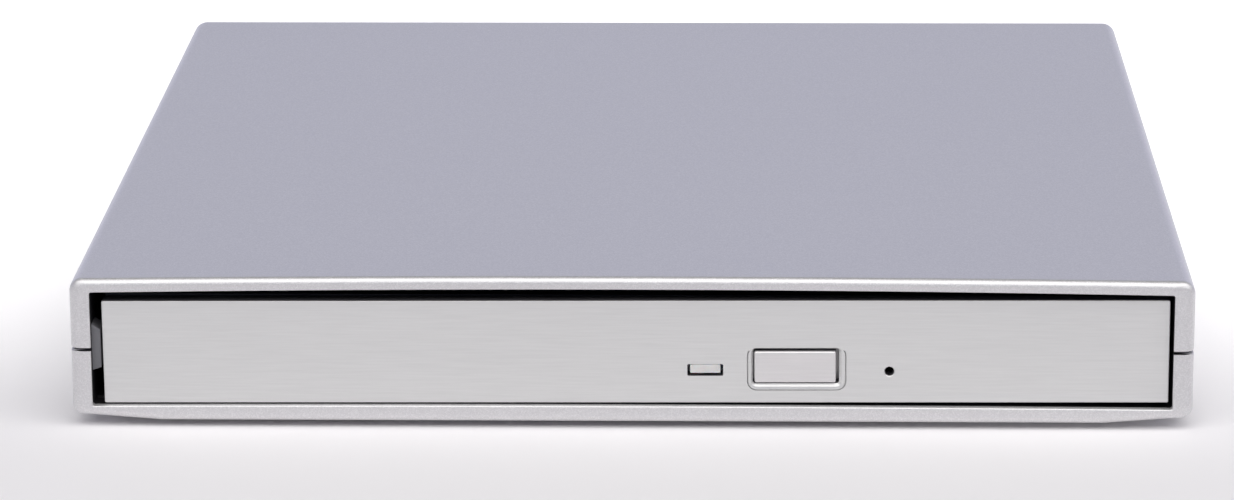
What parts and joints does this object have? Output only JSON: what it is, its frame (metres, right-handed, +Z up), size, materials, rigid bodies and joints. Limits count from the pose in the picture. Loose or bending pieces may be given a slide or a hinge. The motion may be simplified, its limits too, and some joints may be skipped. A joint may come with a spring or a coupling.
{
  "type": "external disc drive",
  "caption": "Slim external disc drive: a two-shell case round a tray drive on telescopic rails, with eject button, spindle hub, pickup sled and release latch.",
  "frame": {"origin": "under the middle of the case, on the surface that it stands on", "axes": "+Y from the front, where the tray comes out, to the rear; +X to the right seen from the front; +Z up"},
  "size_m": [0.1352, 0.14, 0.0189],
  "materials": {
    "case_shell": "satin",
    "bezel_face": "fine horizontal brushing under clear lacquer",
    "button_face": "satin silver",
    "light_pipe": "frosted clear",
    "sheet_steel": "plain zinc",
    "bright_steel": "ground",
    "black_plastic": "fine texture",
    "tray_plastic": "fine texture",
    "trim_plate": "satin black",
    "foot_rubber": "matt",
    "ring_rubber": "matt",
    "board": "solder mask",
    "chip": "moulded",
    "brass": "turned",
    "copper_coil": "enamelled wire",
    "ribbon": "flat cable",
    "lens": "coated",
    "sled_metal": "die cast"
  },
  "bodies": {
    "case": {"top_shell": "case_shell", "bottom_shell": "case_shell", "rubber_foot_1": "foot_rubber", "rubber_foot_2": "foot_rubber", "rubber_foot_3": "foot_rubber", "rubber_foot_4": "foot_rubber", "case_screw_1": "bright_steel", "case_screw_2": "bright_steel", "bridge_board": "board", "bridge_chip": "chip", "bridge_plug": "black_plastic", "usb_inlet_shell": "bright_steel", "usb_inlet_tongue": "black_plastic", "board_screw_1": "bright_steel", "board_screw_2": "bright_steel", "drive_base": "sheet_steel", "drive_cover": "sheet_steel", "cover_screw_1": "bright_steel", "cover_screw_2": "bright_steel", "rail_guide_left": "black_plastic", "rail_guide_right": "black_plastic", "main_board": "board", "main_chip": "chip", "drive_socket": "black_plastic", "tray_ribbon": "ribbon", "lock_post": "bright_steel"},
    "tray": {"tray": "tray_plastic", "bezel": "bezel_face", "led_window": "light_pipe", "front_board": "board", "activity_lamp": "light_pipe", "eject_switch": "chip", "mechanism_chassis": "sheet_steel", "spindle_stator": "copper_coil", "guide_rod_1": "bright_steel", "guide_rod_2": "bright_steel", "stepper_motor": "sheet_steel", "mechanism_trim": "trim_plate", "tray_underplate": "sheet_steel", "eject_solenoid": "copper_coil", "eject_spring": "bright_steel", "latch_pin": "bright_steel"},
    "rail_left": {"rail_left": "sheet_steel"},
    "rail_right": {"rail_right": "sheet_steel"},
    "eject_button": {"eject_button": "button_face"},
    "rotor": {"spindle_rotor": "black_plastic", "disc_ring": "ring_rubber"},
    "claw_1": {"hub_claw_1": "black_plastic"},
    "claw_2": {"hub_claw_2": "black_plastic"},
    "claw_3": {"hub_claw_3": "black_plastic"},
    "sled": {"pickup_sled": "sled_metal"},
    "lens": {"lens_holder": "black_plastic", "objective_lens": "lens"},
    "lead_screw": {"lead_screw": "brass"},
    "latch": {"latch_lever": "black_plastic"},
    "eject_plunger": {"eject_plunger": "black_plastic"},
    "solenoid_plunger": {"solenoid_plunger": "bright_steel"}
  },
  "joints": [
    {"name": "tray_slide", "type": "slide", "parent": "case", "child": "tray", "axis": [0, -1, 0], "range_m": [0, 0.128], "deforming": ["tray_ribbon", "eject_spring"]},
    {"name": "rail_left_slide", "type": "slide", "parent": "case", "child": "rail_left", "axis": [0, -1, 0], "range_m": [0, 0.064]},
    {"name": "rail_right_slide", "type": "slide", "parent": "case", "child": "rail_right", "axis": [0, -1, 0], "range_m": [0, 0.064]},
    {"name": "eject_button_press", "type": "slide", "parent": "tray", "child": "eject_button", "axis": [0, 1, 0], "range_m": [0, 0.0007], "stiffness_N_per_m": 600},
    {"name": "spindle_spin", "type": "hinge", "parent": "tray", "child": "rotor", "pos_m": [0.00045, -0.005, 0.0117], "axis": [0, 0, 1], "continuous": true},
    {"name": "claw_1_in", "type": "slide", "parent": "rotor", "child": "claw_1", "axis": [-1, 0, 0], "range_m": [0, 0.0004], "stiffness_N_per_m": 500},
    {"name": "claw_2_in", "type": "slide", "parent": "rotor", "child": "claw_2", "axis": [0.5, -0.866, 0], "range_m": [0, 0.0004], "stiffness_N_per_m": 500},
    {"name": "claw_3_in", "type": "slide", "parent": "rotor", "child": "claw_3", "axis": [0.5, 0.866, 0], "range_m": [0, 0.0004], "stiffness_N_per_m": 500},
    {"name": "sled_slide", "type": "slide", "parent": "tray", "child": "sled", "axis": [-0.7071, -0.7071, 0], "range_m": [0, 0.034]},
    {"name": "lens_focus", "type": "slide", "parent": "sled", "child": "lens", "axis": [0, 0, 1], "range_m": [-0.0005, 0.0005], "stiffness_N_per_m": 60},
    {"name": "lead_screw_turn", "type": "hinge", "parent": "tray", "child": "lead_screw", "pos_m": [0.00936, -0.01391, 0.0079], "axis": [-0.7071, -0.7071, 0], "range_deg": [-4081, 0]},
    {"name": "latch_turn", "type": "hinge", "parent": "tray", "child": "latch", "pos_m": [0.04745, -0.056, 0.0072], "axis": [0, 0, 1], "range_deg": [0, 10]},
    {"name": "eject_plunger_out", "type": "slide", "parent": "tray", "child": "eject_plunger", "axis": [0, 1, 0], "range_m": [0, 0.01]},
    {"name": "solenoid_pull", "type": "slide", "parent": "tray", "child": "solenoid_plunger", "axis": [0, -1, 0], "range_m": [0, 0.0022], "stiffness_N_per_m": 12.6}
  ],
  "couplings": [
    {"joint": "rail_left_slide", "follows": "tray_slide", "ratio": 0.5},
    {"joint": "rail_right_slide", "follows": "tray_slide", "ratio": 0.5},
    {"joint": "eject_plunger_out", "follows": "tray_slide", "ratio": 0.078125},
    {"joint": "lead_screw_turn", "follows": "sled_slide", "rad_per_m": -2094.4},
    {"joint": "latch_turn", "follows": "solenoid_pull", "rad_per_m": 79.33}
  ]
}
